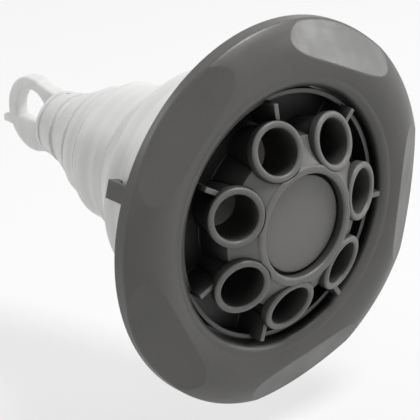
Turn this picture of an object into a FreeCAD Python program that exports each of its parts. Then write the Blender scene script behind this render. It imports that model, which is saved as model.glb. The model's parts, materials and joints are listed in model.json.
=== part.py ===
import FreeCAD, Part
import math
import os
from types import SimpleNamespace

import Sketcher

# A hot tub jet that pushes into a wall fitting. Its axis is Y and its face looks along -Y.
# Y = 0 is the plane where the rim of the face ring meets the tub wall.
# Stations named front or behind are distances from that plane; turns are seen from the front,
# counted in degrees from +X towards +Z.
SIZES = {
    # face ring
    "rim_reach": 12.3,
    "crest_reach": 5.2,
    "crest_front": 9.6,
    "band_radius": 17.0,
    "lip_width": 3.8,
    "lip_round": 3.4,
    "lip_back": 6.0,
    "face_wall": 2.6,
    "edge_round": 1.2,
    "sleeve_wall": 2.0,
    "sleeve_behind": 12.0,
    "root_front": 1.5,
    "root_wall": 0.8,
    "scallop_count": 5,
    "scallop_turn": 65.0,
    "scallop_depth": 3.0,
    "scallop_lean": 27.2,
    "stiffener_front": 2.0,
    "stiffener_width": 1.8,
    "leg_count": 4,
    "leg_turn": 166.0,
    "leg_width": 6.0,
    "hook_reach": 2.4,
    "hook_length": 3.2,
    # turning face
    "port_count": 7,
    "port_turn": 57.9,
    "port_skin": 2.45,
    "port_front": 13.9,
    "port_lean": 20.0,
    "port_bore": 7.35,
    "port_wall": 1.2,
    "port_length": 18.6,
    "collar_width": 2.25,
    "collar_length": 3.2,
    "collar_round": 0.9,
    "flange_behind": 4.0,
    "flange_wall": 2.0,
    "flange_margin": 4.65,
    "flange_gap": 1.0,
    "flange_lip": 1.5,
    "flange_lip_front": 4.6,
    "rib_lag": 10.0,
    "rib_width": 1.6,
    "rib_front": 9.5,
    "hub_wall": 2.9,
    "hub_front": 17.0,
    "web_reach": 8.0,
    "web_front": 11.0,
    "web_wall": 2.4,
    "boss_wall": 3.0,
    "recess_radius": 17.0,
    "recess_floor": 12.0,
    "cap_thickness": 2.2,
    "cap_spigot": 1.0,
    "retainer_thickness": 0.9,
    "retainer_width": 1.3,
    # ball bearing
    "bearing_back": 3.0,
    "bearing_width": 7.0,
    "bearing_radius": 11.0,
    "bearing_bore": 4.0,
    "ball_count": 7,
    "ball_radius": 1.98,
    "ball_circle": 7.5,
    "inner_land": 6.05,
    "outer_land": 8.95,
    "shield_seat": 9.35,
    "shield_inset": 0.9,
    "shield_thickness": 0.5,
    "cage_wall": 1.2,
    "cage_width": 4.8,
    # spindle and its hardware
    "collar_radius": 6.0,
    "spindle_thread": 3.0,
    "spindle_chamfer": 0.5,
    "tip_taper": 0.1,
    "washer_thickness": 0.6,
    "rear_washer_thickness": 1.2,
    "clip_thickness": 0.6,
    "clip_groove": 0.6,
    "clip_radius": 6.2,
    "clip_mouth": 5.0,
    "nut_across_flats": 10.0,
    "nut_thickness": 5.0,
    "nut_washer_radius": 6.0,
    "nut_washer_thickness": 0.8,
    "thread_spare": 1.2,
    # bearing carrier
    "carrier_hub": 9.0,
    "carrier_hub_front": 0.6,
    "carrier_hub_reach": 7.0,
    "carrier_inset": 7.0,
    "carrier_ring_width": 4.6,
    "carrier_ring_thickness": 3.0,
    "arm_count": 4,
    "arm_turn": 0.0,
    "arm_width": 3.0,
    "arm_depth": 5.0,
    "snap_thickness": 0.8,
    "snap_groove": 1.0,
    "snap_inside": 1.6,
    "snap_mouth": 12.0,
    "guide_gap": 0.4,
    "guide_thickness": 2.6,
    "guide_width": 4.8,
    # face cup
    "cup_gap": 4.2,
    "cup_wall": 2.2,
    "cup_flange_thickness": 2.0,
    "cup_flange_gap": 0.8,
    "cup_ledge": 1.6,
    "cup_shoulder": 36.0,
    "ridge_behind": 22.5,
    "ridge_width": 2.5,
    "ridge_gap": 1.0,
    "cone_end": 52.0,
    "joint_behind": 58.0,
    "joint_radius": 23.2,
    "joint_wall": 2.8,
    # rear barrel
    "spigot_length": 8.0,
    "spigot_bore": 20.2,
    "land_radius": 24.2,
    "land_end": 69.0,
    "second_start": 72.5,
    "second_end": 79.5,
    "second_radius": 21.6,
    "third_start": 83.5,
    "third_end": 92.5,
    "third_radius": 17.8,
    "fourth_start": 96.5,
    "barrel_end": 104.0,
    "fourth_radius": 13.0,
    "ring_taper": 0.22,
    "groove_drop": 1.8,
    "chamber_end": 68.0,
    "throat_start": 87.0,
    "throat_bore": 9.0,
    # inlet plug, nozzle and seals
    "plug_front": 92.0,
    "neck_radius": 11.5,
    "neck_end": 105.5,
    "neck_taper": 1.2,
    "passage_radius": 5.0,
    "eye_behind": 119.0,
    "eye_radius": 13.6,
    "eye_bore": 9.0,
    "eye_floor": 2.8,
    "eye_width": 5.6,
    "eye_round": 0.9,
    "tab_drop": 5.5,
    "tab_reach": 2.6,
    "tab_thickness": 3.0,
    "pin_behind": 101.0,
    "pin_radius": 1.0,
    "pin_depth": 2.4,
    "nozzle_tip": 64.0,
    "nozzle_tip_radius": 6.0,
    "nozzle_orifice": 4.4,
    "nozzle_wall": 1.8,
    "seal_depth": 1.6,
    "seal_room": 1.15,
    "seal_centre": 0.8,
    "seal_squeezed": 0.78,
    "joint_seal_behind": 54.0,
    "plug_seal_behind": 96.5,
    # clearances
    "seat_gap": 0.03,
    "shaft_gap": 0.03,
    "race_gap": 0.07,
    "slip_gap": 0.2,
}


class Size:
    """A length or angle: what it measures now, and the sheet expression that it follows."""

    def __init__(self, value, text):
        self.value = value
        self.text = text

    def __add__(self, other):
        return Size(self.value + value_of(other), f"({self.text} + {text_of(other)})")

    def __sub__(self, other):
        return Size(self.value - value_of(other), f"({self.text} - {text_of(other)})")

    def __mul__(self, other):
        return Size(self.value * value_of(other), f"({self.text} * {text_of(other)})")

    def __truediv__(self, other):
        return Size(self.value / value_of(other), f"({self.text} / {text_of(other)})")

    def __neg__(self):
        return Size(-self.value, f"(-{self.text})")

    def __rsub__(self, other):
        return fixed(other) - self

    def __rtruediv__(self, other):
        return fixed(other) / self

    __radd__ = __add__
    __rmul__ = __mul__


def value_of(size):
    return size.value if isinstance(size, Size) else float(size)


def text_of(size):
    return size.text if isinstance(size, Size) else str(float(size))


def fixed(number):
    return Size(float(number), str(float(number)))


def root(size):
    return Size(math.sqrt(size.value), f"sqrt({size.text})")


def cosine(size):
    return Size(math.cos(math.radians(size.value)), f"cos({size.text})")


doc = FreeCAD.newDocument("HotTubJet")
sheet = doc.addObject("Spreadsheet::Sheet", "Sizes")
for row, (name, value) in enumerate(SIZES.items(), start=1):
    sheet.set(f"A{row}", name.replace("_", " "))
    sheet.set(f"B{row}", str(value))
    sheet.setAlias(f"B{row}", name)
doc.recompute()
S = SimpleNamespace(**{name: Size(float(value), f"Sizes.{name}") for name, value in SIZES.items()})
PARTS = []


def new_body(label):
    body = doc.addObject("PartDesign::Body", label)
    body.Label = label
    PARTS.append(body)
    return body


def origin_feature(body, role):
    return next(feature for feature in body.Origin.OriginFeatures if feature.Role == role)


def bind(feature, path, size):
    feature.setExpression(path, text_of(size))


def spot(turn=90.0, y=0.0, radius=0.0, lean=0.0, shift=(0.0, 0.0, 0.0)):
    """A frame at a turn, a Y station and a radius: x runs rearwards, leaning in, and y outwards."""
    roll = text_of(90.0 - turn)
    dx, dy, dz = (text_of(part) for part in shift)
    return (
        f"placement(vector(0; 0; 0); rotation(vector(1; 0; 0); {roll}))"
        f" * placement(vector({text_of(y)}; {text_of(radius)}; 0);"
        f" rotation(vector(0; 0; 1); -{text_of(lean)}))"
        f" * placement(vector({dx}; {dy}; {dz}); rotation(vector(0; 0; 1); 0))"
    )


def attach(body, feature, place):
    feature.AttachmentSupport = [(origin_feature(body, "YZ_Plane"), "")]
    feature.MapMode = "FlatFace"
    feature.setExpression("AttachmentOffset", place)


def arc_between(start, end, radius):
    """The short arc of a circle; a positive radius has its centre on the left of the way."""
    way = end - start
    side = FreeCAD.Vector(-way.y, way.x, 0).normalize()
    rise = math.sqrt(radius ** 2 - (way.Length / 2) ** 2)
    centre = (start + end) * 0.5 + side * math.copysign(rise, radius)
    first, last = (start, end) if radius > 0 else (end, start)
    angles = [math.atan2(point.y - centre.y, point.x - centre.x) for point in (first, last)]
    if angles[1] < angles[0]:
        angles[1] += 2 * math.pi
    circle = Part.Circle(centre, FreeCAD.Vector(0, 0, 1), abs(radius))
    return Part.ArcOfCircle(circle, *angles)


def outline(body, points, arcs=None, place=None):
    """A closed sketch through (along, radius) points; arcs maps a side's number to its radius."""
    arcs = arcs or {}
    sketch = body.newObject("Sketcher::SketchObject", body.Label + "_outline")
    attach(body, sketch, place or spot())
    corners = [FreeCAD.Vector(value_of(x), value_of(y), 0) for x, y in points]
    ends = []
    for side, start in enumerate(corners):
        end = corners[(side + 1) % len(corners)]
        if side in arcs:
            sketch.addGeometry(arc_between(start, end, value_of(arcs[side])))
            ends.append((1, 2) if value_of(arcs[side]) > 0 else (2, 1))
        else:
            sketch.addGeometry(Part.LineSegment(start, end))
            ends.append((1, 2))
    for side, (start, end) in enumerate(ends):
        after = (side + 1) % len(ends)
        sketch.addConstraint(Sketcher.Constraint("Coincident", side, end, after, ends[after][0]))
    for side, (x, y) in enumerate(points):
        for way, size in (("DistanceX", x), ("DistanceY", y)):
            hold = Sketcher.Constraint(way, -1, 1, side, ends[side][0], value_of(size))
            number = sketch.addConstraint(hold)
            sketch.setExpression(f"Constraints[{number}]", text_of(size))
    for side, radius in arcs.items():
        hold = Sketcher.Constraint("Radius", side, abs(value_of(radius)))
        number = sketch.addConstraint(hold)
        sketch.setExpression(f"Constraints[{number}]", f"abs({text_of(radius)})")
    return sketch


def spun(body, points, arcs=None, place=None, cut=False):
    """A profile turned round its own x line, added to the body or cut from it."""
    sketch = outline(body, points, arcs, place)
    kind = "PartDesign::Groove" if cut else "PartDesign::Revolution"
    feature = body.newObject(kind, body.Label + ("_groove" if cut else "_turned"))
    feature.Profile = sketch
    feature.ReferenceAxis = (sketch, ["H_Axis"])
    feature.Angle = 360
    body.Tip = feature
    doc.recompute()
    return feature


def turned(label, points, arcs=None):
    body = new_body(label)
    spun(body, points, arcs)
    return body


def solid(body, kind, place, **sizes):
    """A box, cylinder or sphere feature with its sizes tied to the sheet."""
    feature = body.newObject("PartDesign::" + kind, body.Label + "_" + kind)
    attach(body, feature, place)
    for name, size in sizes.items():
        bind(feature, name, size)
    body.Tip = feature
    doc.recompute()
    return feature


def around(body, features, count):
    """The features repeated evenly round the jet's axis."""
    pattern = body.newObject("PartDesign::PolarPattern", body.Label + "_around")
    pattern.Originals = features
    pattern.Axis = (origin_feature(body, "Y_Axis"), [""])
    pattern.Angle = 360
    bind(pattern, "Occurrences", count)
    body.Tip = pattern
    doc.recompute()
    return pattern


def rounded(body, edges, radius):
    base = body.Tip
    fillet = body.newObject("PartDesign::Fillet", body.Label + "_round")
    fillet.Base = (base, edges)
    bind(fillet, "Radius", radius)
    body.Tip = fillet
    doc.recompute()
    return fillet


def ring(label, front, back, inner, outer):
    """A plain ring between two Y stations."""
    return turned(label, [(front, inner), (front, outer), (back, outer), (back, inner)])


def seal(label, y, radius, wire):
    """An O-ring about the jet's axis."""
    torus = doc.addObject("Part::Torus", label)
    torus.Label = label
    bind(torus, "Radius1", radius)
    bind(torus, "Radius2", wire)
    bind(torus, "Placement.Base.y", y)
    torus.Placement = FreeCAD.Placement(FreeCAD.Vector(), FreeCAD.Vector(1, 0, 0), 90)
    doc.recompute()
    PARTS.append(torus)
    return torus


HUB_RADIUS = S.recess_radius + S.hub_wall
TUBE_RADIUS = S.port_bore + S.port_wall
PORT_CIRCLE = S.recess_radius + S.port_skin + TUBE_RADIUS
FLANGE_RADIUS = PORT_CIRCLE + TUBE_RADIUS + S.flange_margin
WELL_RADIUS = FLANGE_RADIUS + S.flange_gap
LIP_START = WELL_RADIUS + S.lip_width
CREST_RADIUS = LIP_START + S.crest_reach
FACE_RADIUS = CREST_RADIUS + S.rim_reach


def band_front(radius, inset=0.0):
    """How far in front the domed band lies at a radius, or the surface that far under it."""
    inner = S.band_radius - inset
    reach = radius - CREST_RADIUS
    return S.crest_front - S.band_radius + root(inner * inner - reach * reach)


SLEEVE_RADIUS = WELL_RADIUS + S.sleeve_wall
RIM_BORE = FACE_RADIUS - S.face_wall
RIM_FRONT = band_front(FACE_RADIUS)
RIDGE_RADIUS = WELL_RADIUS - S.ridge_gap
RIDGE_BACK = S.ridge_behind + S.ridge_width
CUP_FRONT = S.flange_behind + S.guide_gap + S.guide_thickness
CUP_RADIUS = WELL_RADIUS - S.cup_gap
CUP_BORE = CUP_RADIUS - S.cup_wall
CARRIER_FRONT = CUP_FRONT + S.carrier_inset
CARRIER_HUB_BACK = CARRIER_FRONT + S.carrier_hub_reach
FOURTH_END = S.fourth_radius - (S.barrel_end - S.fourth_start) * S.ring_taper
BALLS_Y = -(S.bearing_back + S.bearing_width / 2)
BEARING_FRONT = S.bearing_back + S.bearing_width
POCKET_RADIUS = S.bearing_radius + S.seat_gap


def scallops(body, under):
    """The five flats where fingers grip the rim, or the same flats a wall's thickness under."""
    span = FACE_RADIUS
    place = spot(
        S.scallop_turn,
        -RIM_FRONT,
        FACE_RADIUS - S.scallop_depth,
        S.scallop_lean,
        (under - span, -span / 2, -span / 2),
    )
    cut = solid(body, "SubtractiveBox", place, Length=span, Width=span, Height=span)
    return around(body, [cut], S.scallop_count)


def rim_edges(shape):
    """The edges where the scallops' flats and the rim's wall meet the band, without seams."""
    named = []
    for number, edge in enumerate(shape.Edges, start=1):
        mid = edge.valueAt((edge.FirstParameter + edge.LastParameter) / 2)
        seam = isinstance(edge.Curve, Part.Line)
        if isinstance(edge.Curve, Part.Circle):
            seam = abs(edge.Curve.Axis.y) < 0.9
        outside = math.hypot(mid.x, mid.z) > value_of(LIP_START) + 1
        if outside and mid.y < -value_of(S.stiffener_front) / 2 and not seam:
            named.append(f"Edge{number}")
    return named


def face_ring():
    """The scalloped ring: a thin shell with a domed front, a sleeve and four snap legs."""
    body = new_body("escutcheon")
    spun(
        body,
        [
            (S.sleeve_behind, WELL_RADIUS),
            (S.sleeve_behind, SLEEVE_RADIUS),
            (0.0, SLEEVE_RADIUS),
            (0.0, FACE_RADIUS),
            (-RIM_FRONT, FACE_RADIUS),
            (-band_front(LIP_START), LIP_START),
            (-S.lip_back, WELL_RADIUS),
        ],
        {4: S.band_radius, 5: S.lip_round},
    )
    scallops(body, 0.0)
    rounded(body, rim_edges(body.Shape), S.edge_round)

    root_radius = SLEEVE_RADIUS + S.root_wall
    hollow = doc.addObject("PartDesign::Body", "escutcheon_hollow")
    spun(
        hollow,
        [
            (S.face_wall, SLEEVE_RADIUS),
            (S.face_wall, RIM_BORE),
            (-band_front(RIM_BORE, S.face_wall), RIM_BORE),
            (-band_front(root_radius, S.face_wall), root_radius),
            (-(S.root_front + S.root_wall), root_radius),
            (-S.root_front, SLEEVE_RADIUS),
        ],
        {2: S.band_radius - S.face_wall},
    )
    scallops(hollow, S.face_wall)
    cut = body.newObject("PartDesign::Boolean", "escutcheon_shell")
    cut.Type = "Cut"
    cut.setObjects([hollow])
    body.Tip = cut
    doc.recompute()

    half = S.face_wall / 2
    web = outline(
        body,
        [
            (-S.stiffener_front, SLEEVE_RADIUS - half),
            (-S.stiffener_front, RIM_BORE + half),
            (-band_front(RIM_BORE + half, half), RIM_BORE + half),
            (-band_front(SLEEVE_RADIUS - half, half), SLEEVE_RADIUS - half),
        ],
        {2: S.band_radius - half},
        spot(S.scallop_turn + 180 / S.scallop_count),
    )
    pad = body.newObject("PartDesign::Pad", "escutcheon_stiffener")
    pad.Profile = web
    pad.Midplane = True
    bind(pad, "Length", S.stiffener_width)
    body.Tip = pad
    doc.recompute()
    around(body, [pad], S.scallop_count)

    leg_end = RIDGE_BACK + S.slip_gap + S.hook_length
    leg = solid(
        body,
        "AdditiveBox",
        spot(S.leg_turn, 0.0, WELL_RADIUS, shift=(0.0, 0.0, -S.leg_width / 2)),
        Length=leg_end,
        Width=S.sleeve_wall - S.slip_gap,
        Height=S.leg_width,
    )
    around(body, [leg], S.leg_count)
    hook = solid(
        body,
        "AdditiveBox",
        spot(
            S.leg_turn,
            leg_end - S.hook_length,
            WELL_RADIUS - S.hook_reach,
            shift=(0.0, 0.0, -S.leg_width / 2),
        ),
        Length=S.hook_length,
        Width=S.hook_reach + S.slip_gap,
        Height=S.leg_width,
    )
    around(body, [hook], S.leg_count)


def rotor():
    """The turning face with its hub and flange, and the seven leaning tubes set in it."""
    body = new_body("rotor_face")
    flange_front = S.flange_behind - S.flange_wall
    web_radius = HUB_RADIUS + S.web_reach
    soft = S.collar_round
    spun(
        body,
        [
            (0.0, S.shield_seat),
            (-S.bearing_back, S.shield_seat),
            (-S.bearing_back, POCKET_RADIUS),
            (-S.recess_floor, POCKET_RADIUS),
            (-S.recess_floor, S.recess_radius),
            (-(S.hub_front - soft), S.recess_radius),
            (-S.hub_front, S.recess_radius + soft),
            (-S.hub_front, HUB_RADIUS - soft),
            (-(S.hub_front - soft), HUB_RADIUS),
            (-S.web_front, web_radius),
            (flange_front, web_radius),
            (flange_front, FLANGE_RADIUS - S.flange_lip),
            (-S.flange_lip_front, FLANGE_RADIUS - S.flange_lip),
            (-S.flange_lip_front, FLANGE_RADIUS),
            (S.flange_behind, FLANGE_RADIUS),
            (S.flange_behind, web_radius - S.web_wall),
            (-(S.web_front - S.web_wall), web_radius - S.web_wall),
            (-(S.web_front - S.web_wall), POCKET_RADIUS + S.boss_wall),
            (0.0, POCKET_RADIUS + S.boss_wall),
        ],
        {5: -soft, 7: -soft},
    )
    rib_foot = PORT_CIRCLE + S.port_wall + S.collar_width
    rib = solid(
        body,
        "AdditiveBox",
        spot(S.port_turn - S.rib_lag, -S.rib_front, rib_foot, shift=(0.0, 0.0, -S.rib_width / 2)),
        Length=S.rib_front + S.flange_behind - S.flange_wall / 2,
        Width=FLANGE_RADIUS - S.flange_lip / 2 - rib_foot,
        Height=S.rib_width,
    )
    around(body, [rib], S.port_count)

    place = spot(S.port_turn, -S.port_front, PORT_CIRCLE, S.port_lean)
    collar_radius = S.port_bore + S.collar_width
    collar_end = S.collar_length + soft
    gap = S.seat_gap
    seat = spun(
        body,
        [
            (-S.collar_length, 0.0),
            (-S.collar_length, collar_radius + gap),
            (S.collar_length + gap, collar_radius + gap),
            (collar_end + gap, TUBE_RADIUS + gap),
            (S.port_length + S.collar_length, TUBE_RADIUS + gap),
            (S.port_length + S.collar_length, 0.0),
        ],
        None,
        place,
        cut=True,
    )
    around(body, [seat], S.port_count)

    ports = new_body("rotor_ports")
    tube = spun(
        ports,
        [
            (soft, S.port_bore),
            (0.0, S.port_bore + soft),
            (0.0, collar_radius - soft),
            (soft, collar_radius),
            (S.collar_length, collar_radius),
            (collar_end, TUBE_RADIUS),
            (S.port_length, TUBE_RADIUS),
            (S.port_length, S.port_bore),
        ],
        {0: -soft, 2: -soft},
        place,
    )
    around(ports, [tube], S.port_count)

    spigot_radius = POCKET_RADIUS - S.seat_gap
    turned(
        "hub_cap",
        [
            (-(S.recess_floor + S.cap_thickness), 0.0),
            (-(S.recess_floor + S.cap_thickness), S.recess_radius - S.slip_gap - soft),
            (-(S.recess_floor + S.cap_thickness - soft), S.recess_radius - S.slip_gap),
            (-S.recess_floor, S.recess_radius - S.slip_gap),
            (-S.recess_floor, spigot_radius),
            (-(S.recess_floor - S.cap_spigot), spigot_radius),
            (-(S.recess_floor - S.cap_spigot), spigot_radius - S.retainer_width),
            (-S.recess_floor, spigot_radius - S.retainer_width),
            (-S.recess_floor, 0.0),
        ],
        {1: soft},
    )
    ring(
        "bearing_retainer",
        -(BEARING_FRONT + S.retainer_thickness),
        -BEARING_FRONT,
        S.bearing_radius - S.retainer_width,
        S.bearing_radius,
    )


def bearing():
    """A shielded ball bearing: the spindle holds its inner race and the turning face its outer."""
    groove = S.ball_radius + S.race_gap
    front = -BEARING_FRONT
    back = -S.bearing_back
    half = root(groove * groove - (S.ball_circle - S.inner_land) * (S.ball_circle - S.inner_land))
    turned(
        "bearing_inner_race",
        [
            (front, S.bearing_bore + S.shaft_gap),
            (front, S.inner_land),
            (BALLS_Y - half, S.inner_land),
            (BALLS_Y + half, S.inner_land),
            (back, S.inner_land),
            (back, S.bearing_bore + S.shaft_gap),
        ],
        {2: groove},
    )
    half = root(groove * groove - (S.outer_land - S.ball_circle) * (S.outer_land - S.ball_circle))
    turned(
        "bearing_outer_race",
        [
            (front, S.bearing_radius),
            (back, S.bearing_radius),
            (back, S.shield_seat),
            (back - S.shield_inset, S.shield_seat),
            (back - S.shield_inset, S.outer_land),
            (BALLS_Y + half, S.outer_land),
            (BALLS_Y - half, S.outer_land),
            (front + S.shield_inset, S.outer_land),
            (front + S.shield_inset, S.shield_seat),
            (front, S.shield_seat),
        ],
        {5: groove},
    )
    shield_bore = S.inner_land + S.slip_gap
    shield_radius = S.shield_seat - S.seat_gap
    for name, y in (
        ("bearing_shield_front", front + S.shield_inset - S.shield_thickness),
        ("bearing_shield_rear", back - S.shield_inset),
    ):
        ring(name, y, y + S.shield_thickness, shield_bore, shield_radius)

    cage = ring(
        "bearing_cage",
        BALLS_Y - S.cage_width / 2,
        BALLS_Y + S.cage_width / 2,
        S.ball_circle - S.cage_wall / 2,
        S.ball_circle + S.cage_wall / 2,
    )
    pocket = spun(
        cage,
        [
            (0.0, 0.0),
            (0.0, S.ball_radius + S.race_gap),
            (S.cage_wall * 2, S.ball_radius + S.race_gap),
            (S.cage_wall * 2, 0.0),
        ],
        None,
        spot(90.0, BALLS_Y, S.ball_circle + S.cage_wall, 90.0),
        cut=True,
    )
    around(cage, [pocket], S.ball_count)
    balls = new_body("bearing_balls")
    ball = solid(balls, "AdditiveSphere", spot(90.0, BALLS_Y, S.ball_circle), Radius=S.ball_radius)
    around(balls, [ball], S.ball_count)


def spindle():
    """The steel spindle with the washers, clip and nut that hold the bearing on the carrier."""
    collar_back = -(S.bearing_back - S.rear_washer_thickness)
    clip_back = BEARING_FRONT + S.washer_thickness
    clip_front = clip_back + S.clip_thickness
    tip = clip_front + S.spindle_chamfer
    groove_radius = S.bearing_bore - S.clip_groove
    washer_back = CARRIER_HUB_BACK + S.nut_washer_thickness
    thread_end = washer_back + S.nut_thickness + S.thread_spare
    turned(
        "spindle",
        [
            (-tip, 0.0),
            (-tip, groove_radius),
            (-clip_front, S.bearing_bore - S.tip_taper),
            (-clip_front, groove_radius),
            (-clip_back, groove_radius),
            (-clip_back, S.bearing_bore),
            (collar_back, S.bearing_bore),
            (collar_back, S.collar_radius),
            (S.carrier_hub_front, S.collar_radius),
            (S.carrier_hub_front, S.spindle_thread),
            (thread_end - S.spindle_chamfer, S.spindle_thread),
            (thread_end, S.spindle_thread - S.spindle_chamfer),
            (thread_end, 0.0),
        ],
    )
    bore = S.bearing_bore + S.shaft_gap
    ring("thrust_washer_rear", -S.bearing_back, collar_back, bore, S.collar_radius)
    ring("thrust_washer_front", -clip_back, -BEARING_FRONT, bore, S.collar_radius)
    clip = ring("spindle_clip", -clip_front, -clip_back, groove_radius + S.shaft_gap, S.clip_radius)
    solid(
        clip,
        "SubtractiveBox",
        spot(270.0, -clip_front - S.clip_thickness, 0.0, shift=(0.0, 0.0, -S.clip_mouth / 2)),
        Length=S.clip_thickness * 3,
        Width=S.clip_radius * 2,
        Height=S.clip_mouth,
    )
    thread_bore = S.spindle_thread + S.shaft_gap
    ring("spindle_washer", CARRIER_HUB_BACK, washer_back, thread_bore, S.nut_washer_radius)

    nut = doc.addObject("Part::Prism", "nut_blank")
    nut.Polygon = 6
    bind(nut, "Circumradius", S.nut_across_flats / cosine(fixed(30.0)) / 2)
    bind(nut, "Height", S.nut_thickness)
    drill = doc.addObject("Part::Cylinder", "nut_thread")
    bind(drill, "Radius", thread_bore)
    bind(drill, "Height", S.nut_thickness)
    threaded = doc.addObject("Part::Cut", "spindle_nut")
    threaded.Base = nut
    threaded.Tool = drill
    threaded.Label = "spindle_nut"
    threaded.Placement = FreeCAD.Placement(FreeCAD.Vector(), FreeCAD.Vector(1, 0, 0), -90)
    bind(threaded, "Placement.Base.y", washer_back)
    doc.recompute()
    PARTS.append(threaded)


def carrier():
    """The spider that stands the spindle in the cup, with the ring that locks it there."""
    outer = CUP_BORE - S.slip_gap
    ring_back = CARRIER_FRONT + S.carrier_ring_thickness
    body = turned(
        "bearing_carrier",
        [
            (S.carrier_hub_front, S.spindle_thread + S.shaft_gap),
            (S.carrier_hub_front, S.carrier_hub - S.spindle_chamfer),
            (S.carrier_hub_front + S.spindle_chamfer, S.carrier_hub),
            (CARRIER_HUB_BACK, S.carrier_hub),
            (CARRIER_HUB_BACK, S.spindle_thread + S.shaft_gap),
        ],
    )
    spun(
        body,
        [
            (CARRIER_FRONT, outer - S.carrier_ring_width),
            (CARRIER_FRONT, outer),
            (ring_back, outer),
            (ring_back, outer - S.carrier_ring_width),
        ],
    )
    arm_foot = S.carrier_hub - S.arm_width / 2
    arm = solid(
        body,
        "AdditiveBox",
        spot(S.arm_turn, CARRIER_FRONT, arm_foot, shift=(0.0, 0.0, -S.arm_width / 2)),
        Length=S.arm_depth,
        Width=outer - S.carrier_ring_width / 2 - arm_foot,
        Height=S.arm_width,
    )
    around(body, [arm], S.arm_count)

    snap_back = CARRIER_FRONT - S.slip_gap / 4
    snap = ring(
        "carrier_snap_ring",
        snap_back - S.snap_thickness,
        snap_back,
        CUP_BORE - S.snap_inside,
        CUP_BORE + S.snap_groove - S.slip_gap / 2,
    )
    solid(
        snap,
        "SubtractiveBox",
        spot(
            270.0,
            snap_back - S.snap_thickness * 2,
            0.0,
            shift=(0.0, 0.0, -S.snap_mouth / 2),
        ),
        Length=S.snap_thickness * 3,
        Width=CUP_RADIUS,
        Height=S.snap_mouth,
    )
    guide_radius = FLANGE_RADIUS - S.slip_gap
    ring(
        "guide_ring",
        S.flange_behind + S.guide_gap,
        CUP_FRONT,
        guide_radius - S.guide_width,
        guide_radius,
    )


def cup():
    """The white front cup that the face ring snaps round, open to the turning face."""
    ledge = CARRIER_FRONT + S.carrier_ring_thickness
    groove_front = CARRIER_FRONT - S.snap_thickness - S.slip_gap / 2
    chamber = CUP_BORE - S.cup_ledge
    flange_back = CUP_FRONT + S.cup_flange_thickness
    collar_radius = S.joint_radius + S.joint_wall
    turned(
        "face_cup",
        [
            (CUP_FRONT, CUP_BORE),
            (CUP_FRONT, WELL_RADIUS - S.cup_flange_gap),
            (flange_back, WELL_RADIUS - S.cup_flange_gap),
            (flange_back, CUP_RADIUS),
            (S.ridge_behind, CUP_RADIUS),
            (S.ridge_behind, RIDGE_RADIUS),
            (RIDGE_BACK, RIDGE_RADIUS),
            (RIDGE_BACK, CUP_RADIUS),
            (S.cup_shoulder, CUP_RADIUS),
            (S.cone_end, collar_radius),
            (S.joint_behind, collar_radius),
            (S.joint_behind, S.joint_radius),
            (S.cone_end - S.cup_wall, S.joint_radius),
            (S.cup_shoulder - S.cup_wall, chamber),
            (ledge, chamber),
            (ledge, CUP_BORE),
            (CARRIER_FRONT, CUP_BORE),
            (CARRIER_FRONT, CUP_BORE + S.snap_groove),
            (groove_front, CUP_BORE + S.snap_groove),
            (groove_front, CUP_BORE),
        ],
    )


def barrel():
    """The stepped cone behind the cup: four rings with grooves between, and a straight throat."""

    def small_end(radius, start, end):
        return radius - (end - start) * S.ring_taper

    second = small_end(S.second_radius, S.second_start, S.second_end)
    third = small_end(S.third_radius, S.third_start, S.third_end) - S.groove_drop
    spigot = S.joint_radius - S.seat_gap
    seal_floor = spigot - S.seal_depth
    seal_half = S.seal_room
    front = S.joint_behind - S.spigot_length
    turned(
        "rear_barrel",
        [
            (front, S.spigot_bore),
            (front, spigot),
            (S.joint_seal_behind - seal_half, spigot),
            (S.joint_seal_behind - seal_half, seal_floor),
            (S.joint_seal_behind + seal_half, seal_floor),
            (S.joint_seal_behind + seal_half, spigot),
            (S.joint_behind, spigot),
            (S.joint_behind, S.land_radius),
            (S.land_end, S.land_radius),
            (S.land_end + S.groove_drop / 2, S.second_radius - S.groove_drop / 2),
            (S.second_start, S.second_radius - S.groove_drop / 2),
            (S.second_start, S.second_radius),
            (S.second_end, second),
            (S.second_end + S.groove_drop / 2, S.third_radius - S.groove_drop / 2),
            (S.third_start, S.third_radius - S.groove_drop / 2),
            (S.third_start, S.third_radius),
            (S.third_end, third),
            (S.third_end + S.groove_drop / 2, S.fourth_radius - S.groove_drop / 2),
            (S.fourth_start, S.fourth_radius - S.groove_drop / 2),
            (S.fourth_start, S.fourth_radius),
            (S.barrel_end, FOURTH_END),
            (S.barrel_end, S.throat_bore),
            (S.throat_start, S.throat_bore),
            (S.chamber_end, S.spigot_bore),
        ],
    )
    seal(
        "barrel_seal",
        S.joint_seal_behind,
        seal_floor + S.seal_centre,
        S.seal_squeezed,
    )


def rims_within(shape, radius):
    """The edges on the eye's two flat sides that lie within a radius of its middle."""
    named = []
    for number, edge in enumerate(shape.Edges, start=1):
        mid = edge.valueAt((edge.FirstParameter + edge.LastParameter) / 2)
        on_side = abs(abs(mid.x) - value_of(S.eye_width) / 2) < 0.01
        reach = math.hypot(mid.y - value_of(S.eye_behind), mid.z)
        if on_side and reach < value_of(radius) + 0.01:
            named.append(f"Edge{number}")
    return named


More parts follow.
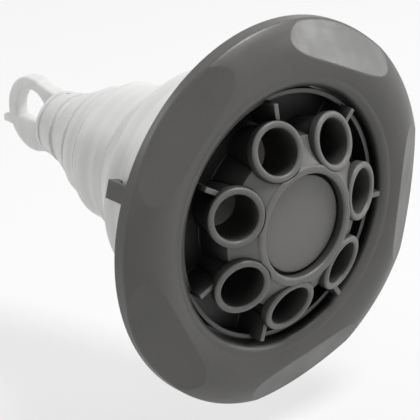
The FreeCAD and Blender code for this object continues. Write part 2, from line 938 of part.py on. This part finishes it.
def inlet():
    """The plug with its flat eye, and the nozzle that it holds in the throat."""
    spigot = S.throat_bore - S.seat_gap
    seal_floor = spigot - S.seal_depth
    seal_half = S.seal_room
    body = new_body("inlet_plug")
    half = S.eye_width / 2
    solid(
        body,
        "AdditiveCylinder",
        spot(90.0, S.eye_behind, 0.0, shift=(0.0, 0.0, -half)),
        Radius=S.eye_radius,
        Height=S.eye_width,
    )
    solid(
        body,
        "AdditiveBox",
        spot(90.0, S.eye_behind, -(S.tab_drop + S.tab_thickness / 2), shift=(0.0, 0.0, -half)),
        Length=S.eye_radius + S.tab_reach,
        Width=S.tab_thickness,
        Height=S.eye_width,
    )
    foot = S.neck_radius - S.eye_round
    wedge = outline(
        body,
        [
            (S.barrel_end, -foot),
            (S.eye_behind, -S.eye_radius),
            (S.eye_behind, S.eye_radius),
            (S.barrel_end, foot),
        ],
    )
    shank = body.newObject("PartDesign::Pad", "inlet_plug_shank")
    shank.Profile = wedge
    shank.Midplane = True
    bind(shank, "Length", S.eye_width)
    body.Tip = shank
    doc.recompute()
    rounded(body, rims_within(body.Shape, S.eye_radius + S.tab_reach), S.eye_round)
    spun(
        body,
        [
            (S.plug_front, 0.0),
            (S.plug_front, spigot),
            (S.plug_seal_behind - seal_half, spigot),
            (S.plug_seal_behind - seal_half, seal_floor),
            (S.plug_seal_behind + seal_half, seal_floor),
            (S.plug_seal_behind + seal_half, spigot),
            (S.barrel_end, spigot),
            (S.barrel_end, S.neck_radius),
            (S.neck_end, S.neck_radius),
            (S.neck_end + S.neck_taper, S.eye_width / 2),
            (S.neck_end + S.neck_taper, 0.0),
        ],
    )
    chord = root(S.eye_bore * S.eye_bore - S.eye_floor * S.eye_floor)
    arch = outline(
        body,
        [
            (S.eye_behind - chord, -S.eye_floor),
            (S.eye_behind + chord, -S.eye_floor),
            (S.eye_behind, S.eye_bore),
        ],
        {1: S.eye_bore, 2: S.eye_bore},
    )
    window = body.newObject("PartDesign::Pocket", "inlet_plug_window")
    window.Profile = arch
    window.Midplane = True
    bind(window, "Length", S.eye_width)
    body.Tip = window
    doc.recompute()
    rounded(body, rims_within(body.Shape, S.eye_bore), S.eye_round)
    spun(
        body,
        [
            (S.plug_front, 0.0),
            (S.plug_front, S.passage_radius),
            (S.neck_end + S.neck_taper, S.passage_radius),
            (S.neck_end + S.neck_taper, 0.0),
        ],
        cut=True,
    )
    seal(
        "plug_seal",
        S.plug_seal_behind,
        seal_floor + S.seal_centre,
        S.seal_squeezed,
    )
    hole = S.pin_radius + S.shaft_gap
    pin_top = FOURTH_END
    pin_foot = S.throat_bore - S.pin_depth
    pins = new_body("plug_pins")
    pin = spun(
        pins,
        [
            (0.0, 0.0),
            (0.0, S.pin_radius),
            (pin_top - pin_foot, S.pin_radius),
            (pin_top - pin_foot, 0.0),
        ],
        None,
        spot(90.0, S.pin_behind, pin_top, 90.0),
    )
    around(pins, [pin], fixed(2))
    for holder in (body, doc.getObject("rear_barrel")):
        drilled = spun(
            holder,
            [
                (-S.pin_depth, 0.0),
                (-S.pin_depth, hole),
                (pin_top - pin_foot, hole),
                (pin_top - pin_foot, 0.0),
            ],
            None,
            spot(90.0, S.pin_behind, pin_top, 90.0),
            cut=True,
        )
        around(holder, [drilled], fixed(2))
    turned(
        "jet_nozzle",
        [
            (S.nozzle_tip, S.nozzle_orifice),
            (S.nozzle_tip, S.nozzle_tip_radius),
            (S.throat_start - S.nozzle_wall, S.throat_bore + S.nozzle_wall / 2),
            (S.throat_start - S.nozzle_wall / 2, S.throat_bore - S.seat_gap),
            (S.plug_front - S.slip_gap / 4, S.throat_bore - S.seat_gap),
            (S.plug_front - S.slip_gap / 4, S.throat_bore - S.nozzle_wall),
            (S.throat_start, S.throat_bore - S.nozzle_wall),
        ],
    )


face_ring()
rotor()
bearing()
spindle()
carrier()
cup()
barrel()
inlet()

doc.recompute()
for thing in doc.Objects:
    if "Invalid" in thing.State or "Error" in thing.State:
        raise RuntimeError(f"{thing.Label} failed: {thing.State}")
for part in PARTS:
    if part.Shape.isNull() or not part.Shape.isValid():
        raise RuntimeError(f"{part.Label} has no valid shape")

os.makedirs("parts", exist_ok=True)
for part in PARTS:
    part.Shape.exportStep(f"parts/{part.Label}.step")
    print(part.Label, len(part.Shape.Solids), round(part.Shape.Volume, 1))
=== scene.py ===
import json
import math

import bpy
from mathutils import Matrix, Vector


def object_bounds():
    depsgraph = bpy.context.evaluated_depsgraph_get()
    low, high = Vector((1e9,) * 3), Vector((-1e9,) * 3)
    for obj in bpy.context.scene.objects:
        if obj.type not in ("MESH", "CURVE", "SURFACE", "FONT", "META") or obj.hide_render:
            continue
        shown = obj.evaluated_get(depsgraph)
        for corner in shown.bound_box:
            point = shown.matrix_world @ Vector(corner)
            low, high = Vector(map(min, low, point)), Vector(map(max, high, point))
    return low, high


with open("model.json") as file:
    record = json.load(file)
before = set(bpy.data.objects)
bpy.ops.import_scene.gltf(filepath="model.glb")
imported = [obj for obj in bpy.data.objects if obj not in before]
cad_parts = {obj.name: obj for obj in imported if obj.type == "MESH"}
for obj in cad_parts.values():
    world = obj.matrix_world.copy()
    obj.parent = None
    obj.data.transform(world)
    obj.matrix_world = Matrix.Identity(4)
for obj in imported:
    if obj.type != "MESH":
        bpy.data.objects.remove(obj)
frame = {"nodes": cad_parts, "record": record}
cad_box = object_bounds()
NODES = frame["nodes"]

# Camera, at the photograph's viewing angle. Lengths are in metres and angles in degrees.
CAMERA_AZIMUTH = -43.6
CAMERA_ELEVATION = 23.0
CAMERA_DISTANCE = 0.700
PIXELS = 420
PIXELS_PER_METRE = 3160
ORIGIN_PIXEL = (269.0, 209.8)
SENSOR = 36.0

# The floor lies this far under the jet. The eye sees a share of its own white, so that the
# ground reads as the photograph's white page and the jet's shadow stays.
FLOOR_DROP = 0.012
FLOOR_HALF = 3.0
FLOOR_COLOUR = (0.8, 0.8, 0.8, 1)
FLOOR_OWN_WHITE = 0.68
WHITE = (1, 1, 1, 1)
SKY_LIGHT = 0.3

# name, place, aim, width across and power in watts. The key stands high over the face's right
# side, and the side lamp beside it gives the upper right scallop its shine.
LAMPS = [
    ("key", (0.40, -0.28, 1.05), (0, 0, 0), 0.45, 11),
    ("side", (0.96, -0.46, 0.30), (0, 0, 0), 0.28, 2.3),
    ("fill", (-0.9, -0.6, 0.35), (0, 0, 0), 0.8, 0.7),
    ("back", (-0.6, 0.7, 0.7), (0, 0.06, 0), 0.5, 2.5),
]


def camera():
    """The camera's axis leaves the jet's origin at the pixel that it has in the photograph."""
    a, e = math.radians(CAMERA_AZIMUTH), math.radians(CAMERA_ELEVATION)
    back = Vector((math.sin(a) * math.cos(e), -math.cos(a) * math.cos(e), math.sin(e)))
    right = Vector((math.cos(a), math.sin(a), 0))
    up = back.cross(right)
    aim = (
        right * (PIXELS / 2 - ORIGIN_PIXEL[0]) / PIXELS_PER_METRE
        - up * (PIXELS / 2 - ORIGIN_PIXEL[1]) / PIXELS_PER_METRE
    )
    data = bpy.data.cameras.new("camera")
    data.sensor_width = SENSOR
    data.lens = SENSOR * PIXELS_PER_METRE * CAMERA_DISTANCE / PIXELS
    data.clip_start, data.clip_end = 0.01, 20
    cam = bpy.data.objects.new("camera", data)
    bpy.context.scene.collection.objects.link(cam)
    cam.location = back * CAMERA_DISTANCE
    cam.rotation_mode = "QUATERNION"
    cam.rotation_quaternion = (cam.location - aim).to_track_quat("Z", "Y")
    bpy.context.scene.camera = cam


# The colour sockets of Blender's Mix node, by number, because its other types share their names.
MIX_SHARE, MIX_FIRST, MIX_SECOND, MIX_RESULT = 0, 6, 7, 2


class Shade:
    """A principled material under construction, with short calls for the nodes that feed it."""

    def __init__(self, name):
        self.made = bpy.data.materials.new(name)
        self.made.use_nodes = True
        self.tree = self.made.node_tree
        self.shader = self.tree.nodes["Principled BSDF"]
        self.place = self.node("ShaderNodeTexCoord").outputs["Object"]

    def node(self, kind, inputs=(), **settings):
        """A new node; inputs maps its sockets to a value or to the socket that feeds it."""
        made = self.tree.nodes.new(kind)
        for key, value in settings.items():
            setattr(made, key, value)
        for key, value in dict(inputs).items():
            if isinstance(value, bpy.types.NodeSocket):
                self.tree.links.new(value, made.inputs[key])
            else:
                made.inputs[key].default_value = value
        return made

    def set(self, **values):
        for key, value in values.items():
            self.shader.inputs[key.replace("_", " ")].default_value = value

    def link(self, name, output):
        self.tree.links.new(output, self.shader.inputs[name])

    def math(self, operation, first, second):
        return self.node("ShaderNodeMath", {0: first, 1: second}, operation=operation).outputs[0]

    def noise(self, scale, detail=3.0, place=None):
        """A noise from 0 to 1; scale is in cells a metre."""
        inputs = {"Vector": place or self.place, "Scale": scale, "Detail": detail}
        return self.node("ShaderNodeTexNoise", inputs).outputs["Fac"]

    def spread(self, value, low, high, start=0.3, end=0.7):
        """The value's start to end stretched over low to high, and held there beyond."""
        inputs = {"Value": value, "From Min": start, "From Max": end, "To Min": low, "To Max": high}
        return self.node("ShaderNodeMapRange", inputs).outputs["Result"]

    def mix(self, share, first, second):
        """first where the share is 0 and second where it is 1; both are colours."""
        inputs = {MIX_SHARE: share, MIX_FIRST: first, MIX_SECOND: second}
        return self.node("ShaderNodeMix", inputs, data_type="RGBA").outputs[MIX_RESULT]

    def edges(self, radius):
        """1 at the corners of the moulding and 0 on its faces, with the corner's rounded normal."""
        round_normal = self.node("ShaderNodeBevel", {"Radius": radius}, samples=6).outputs[0]
        flat_normal = self.node("ShaderNodeNewGeometry").outputs["True Normal"]
        likeness = self.node("ShaderNodeVectorMath", {0: round_normal, 1: flat_normal},
                             operation="DOT_PRODUCT").outputs["Value"]
        return self.spread(likeness, 1.0, 0.0, 0.8, 0.985), round_normal

    def painted_shade_depths(self, reach, closed, open_sky):
        """1 deep in bores and wells, where shade falls, and 0 out in the open: the mask of the
        painted shade.
        """
        share = self.node("ShaderNodeAmbientOcclusion", {"Distance": reach}, samples=8).outputs["AO"]
        return self.spread(share, 1.0, 0.0, closed, open_sky)

    def bump(self, height, strength, distance, normal=None):
        inputs = {"Height": height, "Strength": strength, "Distance": distance}
        if normal is not None:
            inputs["Normal"] = normal
        return self.node("ShaderNodeBump", inputs).outputs["Normal"]


def tone(colour, factor):
    """The colour made lighter or darker, with its alpha."""
    return (*(min(1.0, channel * factor) for channel in colour), 1)


def moulded_plastic(name, colour, roughness):
    """Satin moulded plastic: a spark-eroded grain, uneven gloss, pale rubbed corners and painted
    shade in its bores and wells.
    """
    shade = Shade(name)
    cloud = shade.noise(38, 4)
    fine = shade.noise(1500, 2)
    speck = shade.noise(5200, 1)
    rubbed, rounded = shade.edges(0.0007)
    scuffs = shade.spread(shade.noise(190, 5), 0.0, 1.0, 0.45, 0.62)
    body = shade.mix(shade.spread(cloud, 0, 1), tone(colour, 0.88), tone(colour, 1.12))
    body = shade.mix(shade.spread(fine, 0, 0.35), body, tone(colour, 1.3))
    worn = shade.math("MULTIPLY", rubbed, shade.spread(scuffs, 0.25, 0.6, 0, 1))
    body = shade.mix(worn, body, tone(colour, 1.9))
    # Painted shade: ambient occlusion darkens the colour a little in tight corners and nearly to
    # black deep in the bores and wells.
    body = shade.mix(shade.painted_shade_depths(0.012, 0.3, 0.9), body, tone(colour, 0.55))
    shade.link("Base Color", shade.mix(shade.painted_shade_depths(0.03, 0.3, 0.62), body, tone(colour, 0.06)))
    uneven = shade.spread(shade.noise(75, 4), roughness - 0.05, roughness + 0.08)
    shade.link("Roughness", shade.math("SUBTRACT", uneven, shade.math("MULTIPLY", rubbed, 0.08)))
    grain = shade.math("ADD", fine, shade.math("MULTIPLY", speck, 0.5))
    shade.link("Normal", shade.bump(grain, 0.35, 0.00005, rounded))
    shade.set(IOR=1.5, Specular_IOR_Level=0.5)
    return shade.made


def milky_plastic(name, colour):
    """Unfilled translucent plastic: light soaks into it, with faint flow bands round the axis."""
    shade = Shade(name)
    cloud = shade.noise(30, 3)
    parts = shade.node("ShaderNodeSeparateXYZ", {0: shade.place})
    along = shade.node("ShaderNodeCombineXYZ",
                       {"X": 0.0, "Y": parts.outputs["Y"], "Z": 0.0}).outputs[0]
    bands = shade.noise(260, 4, along)
    body = shade.mix(shade.spread(bands, 0, 1), tone(colour, 0.9), tone(colour, 1.06))
    body = shade.mix(shade.spread(cloud, 0, 0.5), body, tone(colour, 0.94))
    shade.link("Base Color", body)
    shade.link("Roughness", shade.spread(shade.noise(90, 4), 0.34, 0.46))
    ripple = shade.math("ADD", shade.noise(700, 2), shade.math("MULTIPLY", bands, 0.6))
    shade.link("Normal", shade.bump(ripple, 0.25, 0.00006))
    shade.set(IOR=1.5, Subsurface_Weight=0.55, Subsurface_Radius=(1.0, 0.97, 0.93),
              Subsurface_Scale=0.006)
    return shade.made


def turned_steel(name, colour, rough, pitch, strength):
    """Steel turned or ground round the jet's axis: fine rings in the bump and in the gloss."""
    shade = Shade(name)
    parts = shade.node("ShaderNodeSeparateXYZ", {0: shade.place})
    flat = shade.node("ShaderNodeCombineXYZ",
                      {"X": parts.outputs["X"], "Y": 0.0, "Z": parts.outputs["Z"]}).outputs[0]
    radius = shade.node("ShaderNodeVectorMath", {0: flat}, operation="LENGTH").outputs["Value"]
    rings = shade.node("ShaderNodeCombineXYZ",
                       {"X": radius, "Y": parts.outputs["Y"], "Z": 0.0}).outputs[0]
    lines = shade.noise(pitch, 2, rings)
    stain = shade.noise(160, 4)
    rounded = shade.edges(0.0002)[1]
    stained = shade.mix(shade.spread(stain, 0, 1), tone(colour, 0.9), tone(colour, 1.08))
    shade.link("Base Color", stained)
    gloss = shade.spread(lines, rough - 0.06, rough + 0.1)
    shade.link("Roughness", shade.math("ADD", gloss, shade.spread(stain, 0, 0.06)))
    shade.link("Normal", shade.bump(lines, strength, 0.00002, rounded))
    shade.set(Metallic=1.0)
    return shade.made


def rubber(name, colour):
    """Soft black rubber with a dusty bloom and a fine, dry skin."""
    shade = Shade(name)
    bloom = shade.spread(shade.noise(240, 5), 0, 0.6, 0.45, 0.7)
    shade.link("Base Color", shade.mix(bloom, tone(colour, 1.0), tone(colour, 2.4)))
    shade.link("Roughness", shade.spread(shade.noise(600, 3), 0.5, 0.7))
    shade.link("Normal", shade.bump(shade.noise(2600, 3), 0.3, 0.00004))
    shade.set(IOR=1.52)
    return shade.made


def waxy_plastic(name, colour):
    """Off-white bearing plastic with a soft sheen and faint cloudy flow marks."""
    shade = Shade(name)
    shade.link("Base Color", shade.mix(shade.spread(shade.noise(110, 4), 0, 1),
                                       tone(colour, 0.9), tone(colour, 1.05)))
    shade.link("Roughness", shade.spread(shade.noise(260, 3), 0.32, 0.46))
    rounded = shade.edges(0.0003)[1]
    shade.link("Normal", shade.bump(shade.noise(1400, 2), 0.2, 0.00004, rounded))
    shade.set(IOR=1.48, Subsurface_Weight=0.15, Subsurface_Radius=(1.0, 0.95, 0.85),
              Subsurface_Scale=0.002)
    return shade.made


MATERIALS = {
    "grey_plastic": moulded_plastic("grey_plastic", (0.07, 0.068, 0.065), 0.35),
    "port_plastic": moulded_plastic("port_plastic", (0.12, 0.118, 0.114), 0.42),
    "white_plastic": milky_plastic("white_plastic", (0.7, 0.7, 0.69)),
    "steel": turned_steel("steel", (0.6, 0.6, 0.6), 0.28, 2600, 0.5),
    "bearing_steel": turned_steel("bearing_steel", (0.66, 0.66, 0.67), 0.16, 4200, 0.2),
    "seal_rubber": rubber("seal_rubber", (0.02, 0.02, 0.02)),
    "slip_plastic": waxy_plastic("slip_plastic", (0.7, 0.7, 0.68)),
}


def dress():
    for part in frame["record"]["subparts"]:
        mesh = NODES[part["node"]].data
        mesh.materials.clear()
        mesh.materials.append(MATERIALS[part["material_slot"]])


def lamp(name, place, aim, size, power):
    data = bpy.data.lights.new(name, "AREA")
    data.shape = "DISK"
    data.size = size
    data.energy = power
    light = bpy.data.objects.new(name, data)
    bpy.context.scene.collection.objects.link(light)
    light.location = place
    light.rotation_mode = "QUATERNION"
    light.rotation_quaternion = (Vector(place) - Vector(aim)).to_track_quat("Z", "Y")


def seen_by_eye(tree):
    """1 for what the camera sees directly, in gloss or through a clear piece."""
    path = tree.nodes.new("ShaderNodeLightPath")
    total = path.outputs["Is Camera Ray"]
    for name in ("Is Glossy Ray", "Is Transmission Ray"):
        add = tree.nodes.new("ShaderNodeMath")
        add.operation = "MAXIMUM"
        tree.links.new(total, add.inputs[0])
        tree.links.new(path.outputs[name], add.inputs[1])
        total = add.outputs[0]
    return total


def sky():
    """White to the eye, and a dimmer white as light."""
    world = bpy.data.worlds.new("world")
    bpy.context.scene.world = world
    world.use_nodes = True
    tree = world.node_tree
    tree.nodes.clear()
    soft = tree.nodes.new("ShaderNodeBackground")
    soft.inputs["Color"].default_value = WHITE
    soft.inputs["Strength"].default_value = SKY_LIGHT
    white = tree.nodes.new("ShaderNodeBackground")
    white.inputs["Color"].default_value = WHITE
    white.inputs["Strength"].default_value = 1.0
    mix = tree.nodes.new("ShaderNodeMixShader")
    tree.links.new(seen_by_eye(tree), mix.inputs[0])
    tree.links.new(soft.outputs[0], mix.inputs[1])
    tree.links.new(white.outputs[0], mix.inputs[2])
    out = tree.nodes.new("ShaderNodeOutputWorld")
    tree.links.new(mix.outputs[0], out.inputs[0])


def floor():
    """A pale floor under the jet, white to the eye apart from the jet's soft shadow."""
    low = min(corner[2] for corner in cad_box) - FLOOR_DROP
    corners = [(-1, -1), (1, -1), (1, 1), (-1, 1)]
    points = [(x * FLOOR_HALF, y * FLOOR_HALF, low) for x, y in corners]
    mesh = bpy.data.meshes.new("floor")
    mesh.from_pydata(points, [], [(0, 1, 2, 3)])
    ground = bpy.data.objects.new("floor", mesh)
    bpy.context.scene.collection.objects.link(ground)
    made = bpy.data.materials.new("floor")
    made.use_nodes = True
    tree = made.node_tree
    tree.nodes.clear()
    matte = tree.nodes.new("ShaderNodeBsdfDiffuse")
    matte.inputs["Color"].default_value = FLOOR_COLOUR
    glow = tree.nodes.new("ShaderNodeEmission")
    glow.inputs["Strength"].default_value = 1.0
    share = tree.nodes.new("ShaderNodeMath")
    share.operation = "MULTIPLY"
    share.inputs[1].default_value = FLOOR_OWN_WHITE
    tree.links.new(seen_by_eye(tree), share.inputs[0])
    mix = tree.nodes.new("ShaderNodeMixShader")
    tree.links.new(share.outputs[0], mix.inputs[0])
    tree.links.new(matte.outputs[0], mix.inputs[1])
    tree.links.new(glow.outputs[0], mix.inputs[2])
    out = tree.nodes.new("ShaderNodeOutputMaterial")
    tree.links.new(mix.outputs[0], out.inputs[0])
    mesh.materials.append(made)


def studio():
    for name, place, aim, width, power in LAMPS:
        lamp(name, place, aim, width, power)


dress()
studio()
sky()
floor()
camera()
bpy.context.scene.view_settings.view_transform = "Standard"
